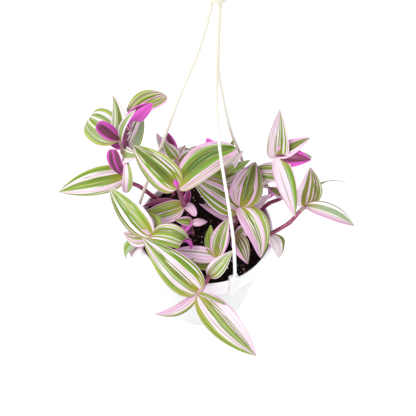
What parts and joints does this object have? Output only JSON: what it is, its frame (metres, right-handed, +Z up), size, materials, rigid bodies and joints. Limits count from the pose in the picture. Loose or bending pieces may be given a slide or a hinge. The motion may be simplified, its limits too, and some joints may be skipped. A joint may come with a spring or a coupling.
{
  "type": "hanging potted trailing plant",
  "caption": "White round hanging pot with a slim legged hanger, filled with soil and leafy trailing stems of striped, pointed leaves.",
  "frame": {"origin": "the point inside the top of the hanger's hook that bears on a rail or a ceiling hook", "axes": "+Z up, -Y towards the viewer of the picture, +X to the viewer's right"},
  "size_m": [0.3198, 0.2621, 0.4866],
  "materials": {
    "pot_plastic": "smooth white moulded plastic, satin",
    "hanger_plastic": "off-white flexible moulded plastic, satin",
    "potting_soil": "dark moist potting soil with crumbs of bark and white perlite",
    "striped_leaf": "fleshy leaves striped lengthwise in green, white and lilac pink above, magenta purple below, on purple brown stems"
  },
  "bodies": {
    "root": {"pot": "pot_plastic", "soil": "potting_soil", "hanger_hook": "hanger_plastic", "hanger_leg_front": "hanger_plastic", "hanger_leg_back": "hanger_plastic", "hanger_leg_left": "hanger_plastic", "leafy_stem_upper_left": "striped_leaf", "leafy_stem_centre": "striped_leaf", "leafy_stem_back_left": "striped_leaf", "leafy_stem_back_right": "striped_leaf", "leafy_stem_right": "striped_leaf", "leafy_stem_right_tall": "striped_leaf", "leafy_stem_right_long": "striped_leaf", "leafy_stem_front_left": "striped_leaf", "leafy_stem_front": "striped_leaf", "leafy_stem_inner_right": "striped_leaf", "leafy_stem_inner_left": "striped_leaf", "leafy_stem_back": "striped_leaf", "leafy_stem_rear_left": "striped_leaf", "leafy_stem_rear_right": "striped_leaf"}
  },
  "joints": []
}
